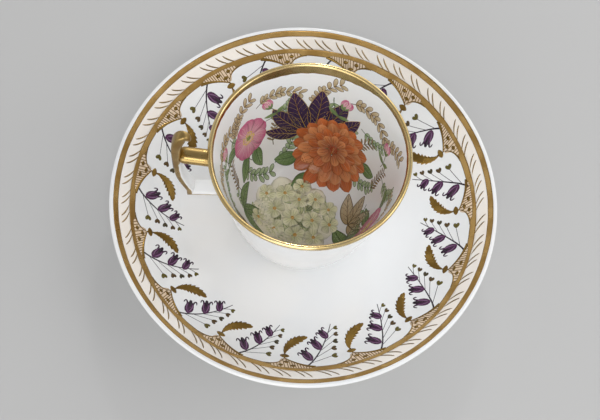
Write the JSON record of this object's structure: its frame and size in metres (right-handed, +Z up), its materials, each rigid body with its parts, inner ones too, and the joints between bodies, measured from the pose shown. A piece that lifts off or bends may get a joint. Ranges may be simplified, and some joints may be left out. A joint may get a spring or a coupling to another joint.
{
  "type": "teacup and saucer",
  "caption": "Footed porcelain teacup with an angular spurred handle on a deep dished saucer, with gilt bands and a painted border; the cup lifts off the saucer.",
  "frame": {"origin": "on the table, under the middle of the saucer's foot ring", "axes": "+Z up along the axis of the saucer and the cup, the handle points to -X"},
  "size_m": [0.145, 0.145, 0.0672],
  "materials": {
    "porcelain": "clear glaze over white porcelain, painted in enamels",
    "handle_porcelain": "glazed porcelain, mostly covered with burnished gold",
    "gilding": "burnished gold film fired over the glaze"
  },
  "bodies": {
    "saucer": {"saucer": "porcelain", "saucer_outer_band": "gilding", "saucer_inner_band": "gilding"},
    "cup": {"cup_bowl": "porcelain", "cup_lip_gilding": "gilding", "handle": "handle_porcelain"}
  },
  "joints": [
    {"name": "cup_lift", "type": "slide", "parent": "saucer", "child": "cup", "axis": [0, 0, 1], "range_m": [0, 0.12]}
  ]
}
